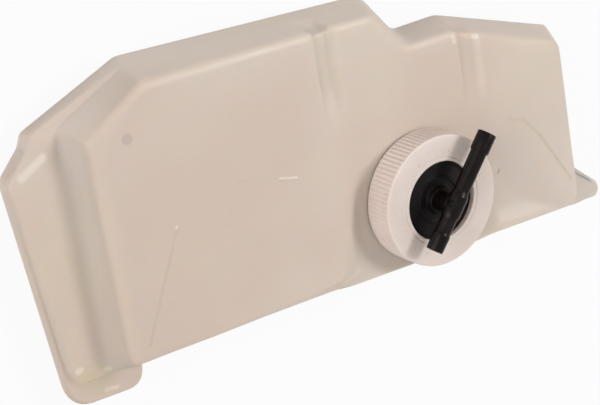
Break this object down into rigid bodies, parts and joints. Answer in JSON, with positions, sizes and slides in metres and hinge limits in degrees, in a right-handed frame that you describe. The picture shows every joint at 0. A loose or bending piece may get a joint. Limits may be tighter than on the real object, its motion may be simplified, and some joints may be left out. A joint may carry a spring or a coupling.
{
  "type": "coolant expansion tank",
  "caption": "Translucent coolant expansion tank for a car, lying on its back, with a ribbed screw cap that carries a black hose tee",
  "frame": {"origin": "under the middle of the whole part, on the flat back it lies on", "axes": "+X along the tank towards the neck and tab end, +Y across it away from the foot, +Z out of the back towards the main face and cap"},
  "size_m": [0.3521, 0.1607, 0.0772],
  "materials": {
    "shell": "translucent off-white polyethylene, blown",
    "nut": "moulded off-white plastic, satin",
    "disc": "black, semi-gloss",
    "seal": "black rubber",
    "tee": "black, glossy",
    "tube": "grey natural plastic"
  },
  "bodies": {
    "tank": {"tank_shell": "shell"},
    "closure": {"closure_disc": "disc", "sealing_gasket": "seal", "hose_tee": "tee", "dip_tube": "tube"},
    "nut": {"ring_nut": "nut"}
  },
  "joints": [
    {"name": "closure_lift", "type": "slide", "parent": "tank", "child": "closure", "axis": [0, -0.0872, 0.9962], "range_m": [0, 0.06]},
    {"name": "nut_turn", "type": "hinge", "parent": "closure", "child": "nut", "pos_m": [0.0374, -0.0271, 0.04163], "axis": [0, -0.0872, 0.9962], "range_deg": [0, 3600]}
  ],
  "couplings": [
    {"joint": "closure_lift", "follows": "nut_turn", "m_per_rad": 0.00095493}
  ]
}
